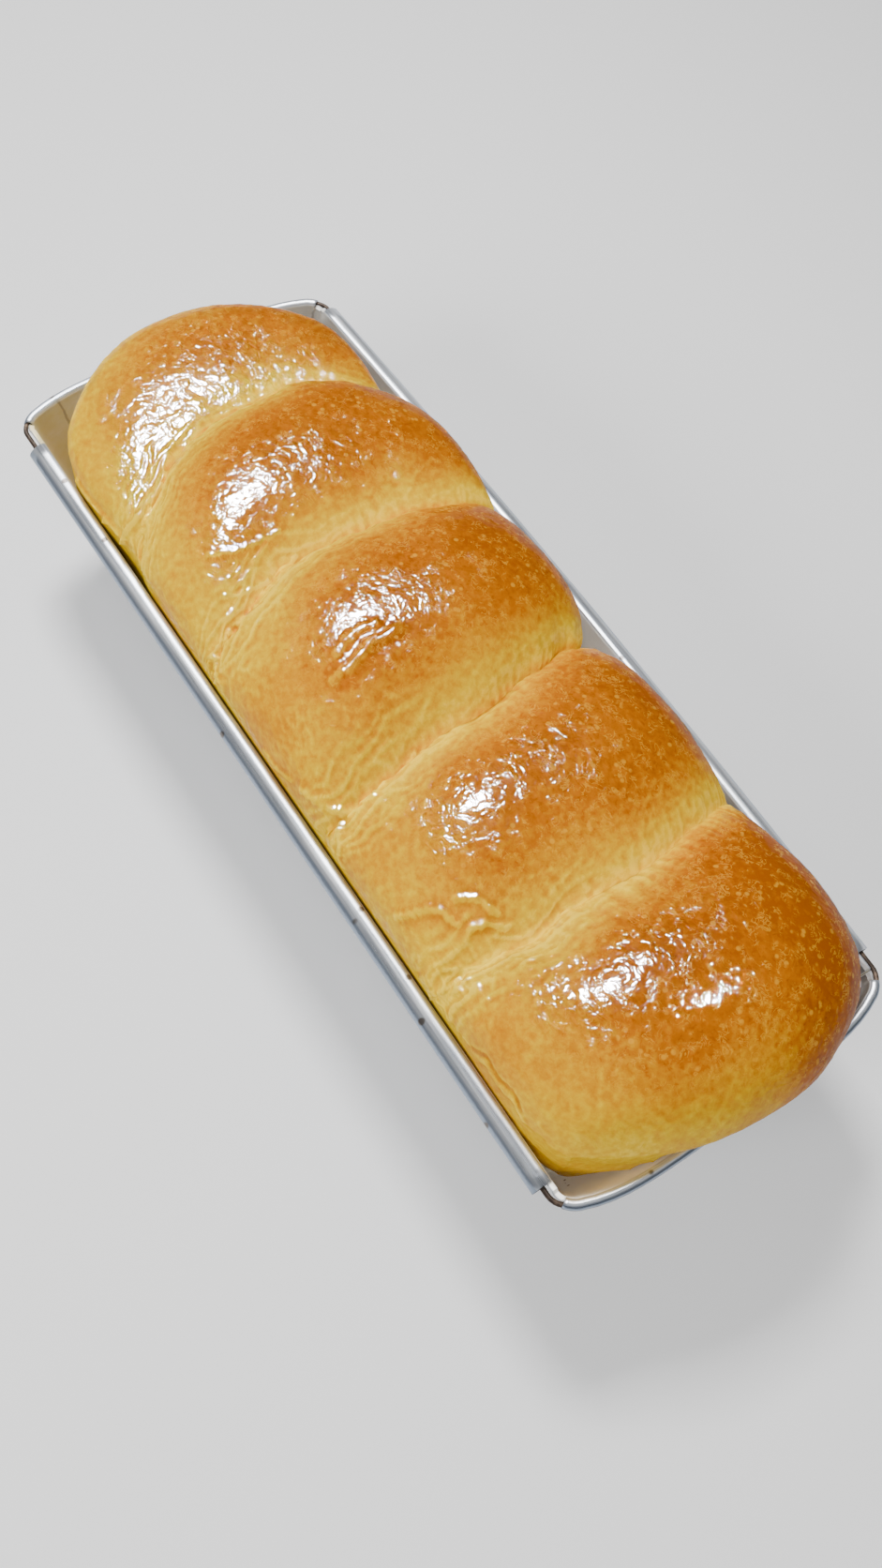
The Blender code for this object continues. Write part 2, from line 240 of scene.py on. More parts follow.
@dataclass(frozen=True)
class CrustFinish:
    """Egg-washed crust, pale in the folds and golden to orange brown on the crowns, with painted light
    and shade.
    """

    fold: tuple = (0.74, 0.49, 0.02)
    side: tuple = (0.64, 0.39, 0.0)
    golden: tuple = (0.53, 0.225, 0.0)
    orange: tuple = (0.40, 0.112, 0.0)
    brown: tuple = (0.28, 0.064, 0.0)
    blister: tuple = (0.76, 0.38, 0.02)
    stops: tuple = (0.0, 0.16, 0.42, 0.70, 1.0)
    patch_scale: float = 45.0
    mottle_scale: float = 420.0
    scorch_scale: float = 620.0
    curl_scale: float = 360.0
    curl_width: float = 0.06
    dot_scale: float = 330.0
    gloss_scale: float = 140.0
    skin_scale: float = 340.0
    skin_depth: float = 0.00050
    blister_depth: float = 0.00003
    # How far the skin's height above its neighbours reaches in the painted shade in hollows and painted
    # light on ridges.
    relief_shade_reach: float = 0.26
    coat: float = 0.25
    coat_roughness: float = 0.06

    def material(self) -> Material:
        """Return the crust's material."""
        nodes = Nodes("glazed_crust")
        place = nodes.place()
        # The browning attribute also carries the painted crease shade at three fold bottoms.
        browning = nodes.attribute("browning")
        baked = nodes.span(browning, 0.25, 0.65)
        patches = nodes.noise(place, self.patch_scale)
        mottle = nodes.noise(place, self.mottle_scale, 5.0, 0.65)
        scorched = nodes.span(nodes.noise(place, self.scorch_scale, 2.0, 0.5, 0.8), 0.54, 0.70, 0.0, 0.16)
        value = nodes.math("ADD", browning, nodes.span(patches, 0.2, 0.8, -0.11, 0.11))
        value = nodes.math("ADD", value, nodes.span(mottle, 0.25, 0.75, -0.13, 0.13))
        value = nodes.math("ADD", value, nodes.math("MULTIPLY", scorched, baked))
        # Painted shade and light: darker where the skin lies below its neighbours, paler where it stands
        # above them.
        relief_shade = nodes.attribute("relief_shade")
        relief_shade = nodes.span(relief_shade, -self.relief_shade_reach, self.relief_shade_reach, 0.15, -0.17)
        value = nodes.math("ADD", value, relief_shade, clamp=True)
        shades = (self.fold, self.side, self.golden, self.orange, self.brown)
        colour = nodes.colours(value, tuple(zip(self.stops, shades)))
        curls = nodes.lines(nodes.noise(place, self.curl_scale, 2.0, 0.5, 1.6), self.curl_width)
        curls = nodes.math("MULTIPLY", curls, nodes.span(nodes.noise(place, 260.0, 1.0), 0.46, 0.58))
        dots = nodes.span(nodes.cells(place, self.dot_scale), 0.34, 0.18)
        dots = nodes.math("MULTIPLY", dots, nodes.span(nodes.noise(place, 170.0, 1.0), 0.50, 0.60))
        blisters = nodes.math("MAXIMUM", curls, dots)
        paler = nodes.math("MULTIPLY", blisters, nodes.span(browning, 0.26, 0.70, 0.0, 0.45))
        colour = nodes.blend(paler, colour, (*self.blister, 1.0))
        gloss = nodes.span(nodes.noise(place, self.gloss_scale, 4.0), 0.3, 0.7, 0.30, 0.44)
        rough = nodes.math("ADD", gloss, nodes.span(browning, 0.0, 0.45, 0.16, 0.0))
        normal = nodes.bump(nodes.noise(place, self.skin_scale, 1.0, 0.5, 0.9), self.skin_depth, 0.6)
        normal = nodes.bump(blisters, self.blister_depth, 0.8, normal)
        nodes.feed(nodes.shader, {"Base Color": colour, "Roughness": rough, "Normal": normal,
                                  "Coat Normal": normal, "Coat Weight": self.coat,
                                  "Coat Roughness": self.coat_roughness, "Coat IOR": 1.45,
                                  "Specular IOR Level": 0.0, "Subsurface Weight": 0.08,
                                  "Subsurface Scale": 0.004, "Subsurface Radius": (1.0, 0.8, 0.3)})
        return nodes.material


@dataclass(frozen=True)
class SheetFinish:
    """Satin aluminium sheet: streaked and specked rims, toned inner walls and plain outside faces.

    The rolls carry a painted dark reflection on their outside halves and painted shade under them.
    The inner walls' tones follow the rim's outline, from the near end of the right side and on
    anticlockwise: cloudy staining and baked-on residue, with painted shade in the near-right corner,
    down the far part of the right wall and in the gap beside the loaf on the left, a painted
    reflection of the crust at the far-left corner and painted light at the near-left corner. Places
    on the outline and up the wall are in metres, except in the colour ramp, where they are shares
    of around, its whole length. The outside face is told from the inner one by its distance from
    it, within the two distances of face_depth.
    """

    bright: tuple = (0.93, 0.95, 0.98)
    dull: tuple = (0.52, 0.56, 0.62)
    # Painted dark reflection on the rolls' outside halves, standing in for a dark floor mirrored in the
    # metal.
    rim_dark_reflection: tuple = (0.24, 0.29, 0.37)
    # Painted shade: a dark line along the rolls' undersides.
    under: tuple = (0.07, 0.075, 0.085)
    # Painted shade in the near-right inner corner.
    painted_corner_shade: tuple = (0.09, 0.075, 0.06)
    # Painted shade in the narrow gap between the loaf and the left wall.
    gap: tuple = (0.10, 0.085, 0.06)
    shade: tuple = (0.28, 0.27, 0.24)
    grey: tuple = (0.50, 0.49, 0.45)
    # Baked-on residue together with a painted reflection of the crust, at the far-left inner corner.
    residue_and_crust_reflection: tuple = (0.44, 0.36, 0.15)
    # Painted light on the inner wall at the near-left corner.
    painted_lit_end: tuple = (0.90, 0.88, 0.80)
    speck: tuple = (0.12, 0.09, 0.065)
    rim: float = 0.0735
    around: float = 0.867
    bends: tuple = (0.3140, 0.4190, 0.8530)
    bend_low: float = 0.056
    bend_fade: float = 0.008
    face_depth: tuple = (0.0002, 0.0004)
    streak_stretch: tuple = (18.0, 900.0, 1.0)
    cloud_scale: float = 60.0
    speck_scale: float = 110.0

    def material(self) -> Material:
        """Return the sheet's material, with the turned-over rims and the inside walls apart."""
        nodes = Nodes("satin_sheet")
        up, section = nodes.attribute("up"), nodes.attribute("section")
        along = nodes.add("ShaderNodeCombineXYZ", {0: nodes.attribute("along"), 1: up}).outputs[0]
        streak_place = nodes.add("ShaderNodeMapping", {"Vector": along, "Scale": self.streak_stretch})
        streaks = nodes.noise(streak_place.outputs[0], 1.0, 4.0, 0.6)
        cloud = nodes.noise(along, self.cloud_scale, 4.0, 0.6)
        share = nodes.math("ADD", nodes.span(streaks, 0.40, 0.64, 0.0, 0.75),
                           nodes.span(cloud, 0.3, 0.7, 0.0, 0.25))
        colour = nodes.blend(share, (*self.dull, 1.0), (*self.bright, 1.0))
        # Painted dark reflection over the rolls' outside halves, by how far round the roll a point is.
        edge = nodes.math("ADD", section, nodes.span(streaks, 0.3, 0.7, -0.03, 0.03))
        colour = nodes.blend(nodes.span(edge, 0.33, 0.42, 0.0, 0.93), colour, (*self.rim_dark_reflection, 1.0))
        # Painted shade along the rolls' undersides.
        colour = nodes.blend(nodes.span(edge, 0.54, 0.60), colour, (*self.under, 1.0))
        depth = nodes.add("ShaderNodeVectorMath",
                          {0: nodes.place(), 1: nodes.attribute("inner_place", "Vector")},
                          operation="DISTANCE").outputs["Value"]
        below = nodes.span(up, self.rim - 0.001, self.rim, 1.0, 0.0)
        outside = nodes.math("MULTIPLY", below, nodes.span(depth, *self.face_depth))
        inside = nodes.math("SUBTRACT", below, outside)
        # The inner walls' tones by place: cloudy staining and residue, with painted shade, a painted
        # crust reflection and painted light.
        wall_tone_share = nodes.math("MULTIPLY", inside, nodes.span(cloud, 0.3, 0.7, 0.82, 1.0))
        travel = nodes.attribute("along")
        wall_stains_light_and_shade = ((0.0, self.painted_corner_shade), (0.06, self.painted_corner_shade), (0.12, self.grey), (0.28, self.shade),
                  (0.358, self.shade), (0.368, self.grey), (0.41, self.residue_and_crust_reflection), (0.52, self.residue_and_crust_reflection),
                  (0.56, self.gap), (0.79, self.gap), (0.82, self.painted_lit_end), (0.92, self.painted_lit_end),
                  (0.965, self.painted_corner_shade), (1.0, self.painted_corner_shade))
        inner = nodes.colours(nodes.math("DIVIDE", travel, self.around), wall_stains_light_and_shade)
        colour = nodes.blend(wall_tone_share, colour, inner)
        specks = nodes.span(nodes.cells(along, self.speck_scale), 0.15, 0.08, 0.0, 0.85)
        specks = nodes.math("MULTIPLY", specks, nodes.span(nodes.noise(along, 40.0), 0.44, 0.50))
        specks = nodes.math("SUBTRACT", specks, outside, clamp=True)
        wander = nodes.math("ADD", travel, nodes.span(cloud, 0.0, 1.0, -0.002, 0.002))
        for bend in self.bends:
            off = nodes.math("ABSOLUTE", nodes.math("SUBTRACT", wander, bend))
            line = nodes.math("MULTIPLY", nodes.span(off, 0.0008, 0.0002, 0.0, 0.6), inside)
            risen = nodes.span(up, self.bend_low, self.bend_low + self.bend_fade)
            line = nodes.math("MULTIPLY", line, risen)
            specks = nodes.math("MAXIMUM", specks, line)
        colour = nodes.blend(specks, colour, (*self.speck, 1.0))
        rough = nodes.math("ADD", nodes.span(streaks, 0.3, 0.7, 0.26, 0.40),
                           nodes.math("MULTIPLY", inside, 0.26))
        metal = nodes.span(inside, 0.0, 1.0, 0.92, 0.25)
        normal = nodes.bump(streaks, 0.00005, 0.5)
        normal = nodes.bump(cloud, 0.0004, 0.25, normal)
        nodes.feed(nodes.shader, {"Base Color": colour, "Roughness": rough, "Normal": normal,
                                  "Metallic": metal, "Anisotropic": 0.3})
        return nodes.material


@dataclass(frozen=True)
class WireFinish:
    """Steel wire gone dark brown in the oven."""

    dark: tuple = (0.035, 0.024, 0.018)
    worn: tuple = (0.16, 0.11, 0.075)

    def material(self) -> Material:
        """Return the wire's material."""
        nodes = Nodes("baked_wire")
        place = nodes.place()
        patches = nodes.noise(place, 380.0, 4.0, 0.6)
        colour = nodes.blend(nodes.span(patches, 0.45, 0.75), (*self.dark, 1.0), (*self.worn, 1.0))
        normal = nodes.bump(nodes.noise(place, 1400.0, 3.0), 0.0001, 0.6)
        nodes.feed(nodes.shader, {"Base Color": colour, "Metallic": 0.7, "Normal": normal,
                                  "Roughness": nodes.span(patches, 0.3, 0.7, 0.35, 0.6)})
        return nodes.material


@dataclass(frozen=True)
class FloorFinish:
    """A plain pale floor."""

    colour: tuple = (0.90, 0.90, 0.90)

    def material(self) -> Material:
        """Return the floor's material."""
        nodes = Nodes("pale_floor")
        cloud = nodes.noise(nodes.place(), 4.0, 2.0)
        nodes.feed(nodes.shader, {"Base Color": (*self.colour, 1.0),
                                  "Roughness": nodes.span(cloud, 0.3, 0.7, 0.75, 0.85)})
        return nodes.material


class Side(Enum):
    """The two long sides of the tin and of the loaf."""

    RIGHT = 1.0
    LEFT = -1.0


class Kind(Enum):
    """What a stretch of the tin's outline is part of."""

    SIDE = "side"
    FLAP = "flap"
    END = "end"
    CORNER = "corner"


@dataclass(frozen=True)
class TinForm:
    """The tin's sizes, and the places on its inner face that follow from them."""

    sheet: float = 0.6
    rim_z: float = 72.0
    floor_half_length: float = 143.0
    floor_half_width: float = 42.0
    rim_half_length: float = 156.5
    rim_half_width: float = 58.8
    floor_fillet: float = 3.0
    corner_radius: float = 3.5
    near_bow: float = 9.1
    far_bow: float = 8.4
    floor_bow: float = 2.0
    bow_span: float = 62.7
    bow_power: float = 5.0
    side_bow: float = 2.6
    roll_half_width: float = 3.5
    roll_half_thickness: float = 2.0
    roll_tilt: float = math.radians(30.0)
    roll_open_angle: float = math.radians(-135.0)
    left_roll_ends: tuple = (-147.5, 153.0)
    right_roll_ends: tuple = (-153.5, 150.0)
    hem_radius: float = 1.75
    hem_open_angle: float = math.radians(-115.0)
    flap_low: float = 6.0
    flap_high: float = 26.0
    flap_step: float = 0.5
    flap_bottom_z: float = 4.4
    flap_top_z: float = 67.4
    side_steps: int = 60
    middle_steps: int = 30
    corner_steps: int = 8
    flap_columns: int = 6

    def level(self, z: float) -> float:
        """Return how far up the wall a height is: 0 at the floor, 1 at the rim."""
        return min(max((z - self.sheet) / (self.rim_z - self.sheet), 0.0), 1.0)

    def plain_half_width(self, z: float) -> float:
        """Return the straight part of the inner face's half width at a height."""
        return mix(self.floor_half_width, self.rim_half_width, self.level(z))

    def half_width(self, x: float, z: float, side: Side) -> float:
        """Return the inner face's distance from the middle line on one long side."""
        bow = self.side_bow * self.level(z) * (1.0 - (x / self.rim_half_length) ** 2)
        return self.plain_half_width(z) + (max(bow, 0.0) if side is Side.RIGHT else 0.0)

    def half_length(self, y: float, z: float, near: bool) -> float:
        """Return the inner face's distance from the middle on one end wall."""
        level = self.level(z)
        bow = mix(self.floor_bow, self.near_bow if near else self.far_bow, level)
        swell = 1.0 - min(abs(y) / self.bow_span, 1.0) ** self.bow_power
        return mix(self.floor_half_length, self.rim_half_length, level) + bow * swell

    def side_run(self, z: float, side: Side) -> list:
        """Return the points along one long side at a height, from the near end to the far one."""
        low, high = self.right_roll_ends if side is Side.RIGHT else self.left_roll_ends
        scale = mix(self.floor_half_length / self.rim_half_length, 1.0, self.level(z))
        columns = [mix(high, low, step / self.side_steps) * scale for step in range(self.side_steps + 1)]
        near = self.half_length(self.plain_half_width(z), z, True) - self.corner_radius
        far = self.half_length(self.plain_half_width(z), z, False) - self.corner_radius
        columns = [near] + columns + [-far]
        return [(x, side.value * self.half_width(x, z, side)) for x in columns]

    def end_run(self, z: float, near: bool) -> list:
        """Return the points across one end at a height, from +Y to -Y, with the flaps' edges."""
        start = self.plain_half_width(z) - self.corner_radius
        edge = self.plain_half_width(z) - mix(self.flap_low, self.flap_high, self.level(z))
        flap = [mix(start, edge, step / (self.flap_columns - 1)) for step in range(self.flap_columns)]
        inner = edge - self.flap_step
        middle = [mix(inner, -inner, step / self.middle_steps) for step in range(self.middle_steps + 1)]
        sign = 1.0 if near else -1.0
        across = flap + middle + [-y for y in reversed(flap)]
        return [(sign * self.half_length(y, z, near), y) for y in across]

    def corner_run(self, start: tuple, control: tuple, end: tuple) -> list:
        """Return the points that round a corner off between two others, without those two."""
        points = []
        for step in range(1, self.corner_steps):
            share = step / self.corner_steps
            weights = ((1.0 - share) ** 2, 2.0 * share * (1.0 - share), share * share)
            points.append(tuple(sum(w * p for w, p in zip(weights, trio))
                                for trio in zip(start, control, end)))
        return points

    def outline(self, z: float, inset: float = 0.0) -> list:
        """Return the inner face's outline at a height, seen from above.

        Args:
            z: The height.
            inset: How far the outline is drawn in.

        Returns:
            Pairs of a point and its kind, anticlockwise from the near end of the right side.
        """
        runs = ((Kind.SIDE, self.side_run(z, Side.RIGHT)), (Kind.END, self.end_run(z, False)),
                (Kind.SIDE, self.side_run(z, Side.LEFT)[::-1]), (Kind.END, self.end_run(z, True)[::-1]))
        outline = []
        for index, (kind, run) in enumerate(runs):
            for place, point in enumerate(run):
                from_end = min(place, len(run) - 1 - place)
                is_flap = kind is Kind.END and from_end < self.flap_columns
                outline.append((point, Kind.FLAP if is_flap else kind))
            x, y = run[-1]
            reach = self.half_length(self.plain_half_width(z), z, x > 0.0)
            control = (math.copysign(reach, x), math.copysign(self.plain_half_width(z), y))
            following = runs[(index + 1) % len(runs)][1][0]
            outline += [(point, Kind.CORNER) for point in self.corner_run(run[-1], control, following)]
        if inset:
            outward = self.outward([point for point, _ in outline])
            outline = [((p[0] - inset * n[0], p[1] - inset * n[1]), kind)
                       for (p, kind), n in zip(outline, outward)]
        return outline

    def outward(self, points: list) -> list:
        """Return the outward direction, seen from above, at each point of an anticlockwise loop."""
        directions = []
        for index in range(len(points)):
            before, after = points[index - 1], points[(index + 1) % len(points)]
            run_x, run_y = after[0] - before[0], after[1] - before[1]
            length = math.hypot(run_x, run_y)
            directions.append((run_y / length, -run_x / length))
        return directions


@dataclass
class Tin:
    """The folded sheet: floor, walls, corner flaps, long rolls and end hems."""

    form: TinForm = field(default_factory=TinForm)
    finish: SheetFinish = field(default_factory=SheetFinish)
    roll_steps: int = 26
    hem_steps: int = 16
    hem_wrap: int = 4
    lip: tuple = ((0.0, 0.0), (1.1, 0.4), (1.9, 0.2))
    flap_rows: int = 8
    foot_bend: float = 0.3
    wobble: float = 0.22
    wobble_length: float = 34.0
    lip_rise: float = 0.6
    plain_weight: float = 0.5
    smooth_angle: float = math.radians(40.0)

    def roll_section(self) -> list:
        """Return the long rim's rolled section as outward and upward steps from the roll's middle."""
        form = self.form
        sine, cosine = math.sin(form.roll_tilt), math.cos(form.roll_tilt)
        start = math.pi + math.atan2(form.roll_half_thickness * sine, form.roll_half_width * cosine)
        points = []
        for step in range(self.roll_steps + 1):
            angle = mix(start, form.roll_open_angle, step / self.roll_steps)
            along = form.roll_half_width * math.cos(angle)
            across = form.roll_half_thickness * math.sin(angle)
            points.append((along * cosine + across * sine, across * cosine - along * sine))
        return points

    def hem_section(self) -> list:
        """Return the end rim's round section as outward and upward steps from the wire's middle."""
        radius = self.form.hem_radius
        angles = [mix(math.pi, self.form.hem_open_angle, step / self.hem_steps)
                  for step in range(self.hem_steps + 1)]
        return [(radius * math.cos(angle), radius * math.sin(angle)) for angle in angles]

    def heights(self) -> list:
        """Return the wall's rows from the floor to the rim, each with its inset."""
        form = self.form
        rows = [(form.sheet, form.floor_fillet),
                (form.sheet + form.floor_fillet * self.foot_bend, form.floor_fillet * self.foot_bend),
                (form.sheet + form.floor_fillet, 0.0)]
        rows += [(mix(form.flap_bottom_z, form.flap_top_z, step / self.flap_rows), 0.0)
                 for step in range(self.flap_rows + 1)]
        return rows + [(form.flap_top_z + form.flap_step, 0.0), (form.rim_z, 0.0)]

    def rim_runs(self, outline: list) -> list:
        """Return the rim's stretches: the long rolls, the end hems and the lips at the corners.

        Args:
            outline: The rim's outline, from TinForm.outline.

        Returns:
            Pairs of a kind and the stretch's places in the outline.
        """
        runs, count = [], len(outline)
        for kinds, wrap in (((Kind.SIDE,), -1), ((Kind.END, Kind.FLAP), self.hem_wrap)):
            members = {index for index, (_, kind) in enumerate(outline) if kind in kinds}
            for start in sorted(index for index in members if index - 1 not in members):
                end = start
                while end + 1 in members:
                    end += 1
                runs.append((kinds[0], [place % count for place in range(start - wrap, end + wrap + 1)]))
        runs.sort(key=lambda run: run[1][0])
        lips = []
        for (_, before), (_, after) in zip(runs, runs[1:] + runs[:1]):
            steps = (after[0] - before[-1]) % count
            lips.append((Kind.CORNER, [(before[-1] + step) % count for step in range(steps + 1)]))
        return runs + lips

    def build(self) -> Object:
        """Build and dress the tin.

        Returns:
            The tin's object.
        """
        shape, form = bmesh.new(), self.form
        deform = shape.verts.layers.deform.verify()
        along_layer = shape.verts.layers.float.new("along")
        up_layer = shape.verts.layers.float.new("up")
        section_layer = shape.verts.layers.float.new("section")
        inner_layer = shape.verts.layers.float_vector.new("inner_place")
        outline = form.outline(form.rim_z)
        points = [point for point, _ in outline]
        travel = [0.0]
        for before, after in zip(points, points[1:]):
            travel.append(travel[-1] + math.dist(before, after))
        bmesh.ops.create_circle(shape, cap_ends=True, segments=len(points), radius=1.0)
        shape.verts.ensure_lookup_table()
        run = list(shape.verts)
        if shape.faces[:][0].normal.z < 0.0:
            run.reverse()
        rolled, hemmed = self.roll_section(), self.hem_section()
        for index, (z, inset) in enumerate(self.heights()):
            lift = rolled[0][1] if z == form.rim_z else 0.0
            ring = form.outline(z, inset)
            places = [(p[0], p[1], z + (lift if kind is Kind.SIDE else 0.0)) for p, kind in ring]
            if index == 0:
                for vertex, place in zip(run, places):
                    vertex.co = place
            else:
                run = extrude_run(shape, run, places, closed=True)
            for vertex, (_, kind), distance in zip(run, ring, travel):
                doubled = kind is Kind.FLAP and form.flap_bottom_z <= z <= form.flap_top_z
                vertex[deform][0] = 1.0 if doubled else self.plain_weight
                vertex[along_layer] = distance * MM
                vertex[up_layer] = z * MM
        outward = form.outward(points)
        sections = {Kind.SIDE: rolled, Kind.END: hemmed, Kind.CORNER: self.lip}
        for kind, members in self.rim_runs(outline):
            section = sections[kind]
            edge = [run[i] for i in members]
            starts = [edge_vertex.co.copy() for edge_vertex in edge]
            for step, (out, up) in enumerate(section[1:], start=1):
                out, up = out - section[0][0], up - section[0][1]
                places = []
                for start, i in zip(starts, members):
                    spot = Vector((travel[i] / self.wobble_length, out / 9.0, 3.1))
                    drift = self.wobble * noise.noise(spot)
                    drift *= step / len(section)
                    places.append((start.x + (out + drift) * outward[i][0],
                                   start.y + (out + drift) * outward[i][1], start.z + up + drift))
                edge = extrude_run(shape, edge, places, closed=False)
                for vertex, i in zip(edge, members):
                    vertex[deform][0] = self.plain_weight
                    vertex[along_layer] = travel[i] * MM
                    vertex[up_layer] = (form.rim_z + self.lip_rise * step) * MM
                    vertex[section_layer] = 0.0 if kind is Kind.CORNER else step / (len(section) - 1)
        # Both faces of the finished sheet keep the inner one's place, so the finish can tell them apart.
        for vertex in shape.verts:
            vertex[inner_layer] = vertex.co * MM
        bmesh.ops.recalc_face_normals(shape, faces=shape.faces)
        floor_face = max(shape.faces, key=lambda face: face.calc_area())
        if floor_face.normal.z > 0.0:
            bmesh.ops.reverse_faces(shape, faces=shape.faces)
        tin = finish_mesh("tin_sheet", shape, self.finish.material(), "tin")
        tin.vertex_groups.new(name="sheet_thickness")
        solid = tin.modifiers.new("sheet", "SOLIDIFY")
        solid.thickness = form.sheet / self.plain_weight * MM
        solid.offset = 1.0
        solid.use_even_offset = True
        solid.vertex_group = "sheet_thickness"
        tin.data.set_sharp_from_angle(angle=self.smooth_angle)
        return tin


@dataclass
class RimWire:
    """The dark wire that the rims are rolled round, a closed loop that shows at the corners."""

    form: TinForm = field(default_factory=TinForm)
    finish: WireFinish = field(default_factory=WireFinish)
    radius: float = 0.85

    def route(self, reach_of_roll: float) -> list:
        """Return the points of the wire's middle, seen from above.

        Args:
            reach_of_roll: The distance from the wall's top to the middle of the long roll.

        Returns:
            The loop's points, close round each corner.
        """
        outline = self.form.outline(self.form.rim_z)
        outward = self.form.outward([point for point, _ in outline])
        reaches = (reach_of_roll, self.form.hem_radius)
        places, from_side, turned = [], True, 0
        for (point, kind), direction in zip(outline, outward):
            if kind is Kind.CORNER:
                turned += 1
            else:
                from_side, turned = kind is Kind.SIDE, 0
            start, end = reaches if from_side else reaches[::-1]
            reach = mix(start, end, ramp(turned, 0.0, self.form.corner_steps))
            places.append((point[0] + reach * direction[0], point[1] + reach * direction[1]))
        return places

    def build(self, reach_of_roll: float) -> Object:
        """Build and dress the wire, with its middle this far outside the long walls' tops."""
        curve = bpy.data.curves.new("rim_wire_bend", "CURVE")
        curve.dimensions = "3D"
        curve.bevel_depth = self.radius * MM
        curve.bevel_resolution = 4
        route = self.route(reach_of_roll)
        spline = curve.splines.new("POLY")
        spline.points.add(len(route) - 1)
        for point, place in zip(spline.points, route):
            point.co = (place[0] * MM, place[1] * MM, self.form.rim_z * MM, 1.0)
        spline.use_cyclic_u = True
        curve.materials.append(self.finish.material())
        wire = add_object("rim_wire_bend", curve)
        declare(wire, "rim_wire")
        return wire


@dataclass(frozen=True)
class Fold:
    """A fold between two rolls, or an end of the loaf: where it runs and how wide and high it is."""

    right_x: float
    top_x: float
    left_x: float
    right_width: float
    left_width: float
    height: float

    def x(self, turn: float) -> float:
        """Return the fold's x at a turn, from 1 at the right side to -1 at the left."""
        middle = (self.right_x + self.left_x) / 2.0
        slant = (self.right_x - self.left_x) / 2.0
        return self.top_x + slant * turn + (middle - self.top_x) * turn * turn


@dataclass(frozen=True)
class Roll:
    """One roll of dough: its half widths, its height above the rim and how brown it has baked."""

    right_width: float
    left_width: float
    height: float
    browning: float


@dataclass(frozen=True)
class Ridge:
    """A raised or sunken line in the skin, along points close to the crown."""

    path: tuple
    width: float
    height: float

    def points(self, crown: kdtree.KDTree, spacing: float) -> list:
        """Return points a short way apart along the path, each moved onto the crown."""
        places = [Vector(self.path[0])]
        for start, end in zip(self.path, self.path[1:]):
            start, end = Vector(start), Vector(end)
            count = max(round((end - start).length / spacing), 1)
            places += [start.lerp(end, step / count) for step in range(1, count + 1)]
        return [crown.find(place)[0] for place in places]


class Creases:
    """All the ridges of the loaf, laid on its crown and ready to be looked up."""

    def __init__(self, ridges: tuple, crown: kdtree.KDTree, spacing: float = 0.8) -> None:
        """Lay the ridges on the crown.

        Args:
            ridges: The ridges.
            crown: The crown's points.
            spacing: The distance between the points of a ridge.
        """
        self.ridges = ridges
        laid = [(index, place) for index, ridge in enumerate(ridges)
                for place in ridge.points(crown, spacing)]
        self.owners = [index for index, _ in laid]
        self.tree = kdtree.KDTree(len(laid))
        for number, (_, place) in enumerate(laid):
            self.tree.insert(place, number)
        self.tree.balance()
        self.reach = 2.5 * max(ridge.width for ridge in ridges)

    def lift(self, place: Vector) -> float:
        """Return how far the ridges lift the skin at a place."""
        nearest = {}
        for _, number, distance in self.tree.find_range(place, self.reach):
            owner = self.owners[number]
            nearest[owner] = min(distance, nearest.get(owner, distance))
        return sum(self.ridges[owner].height * bell(distance, self.ridges[owner].width)
                   for owner, distance in nearest.items())


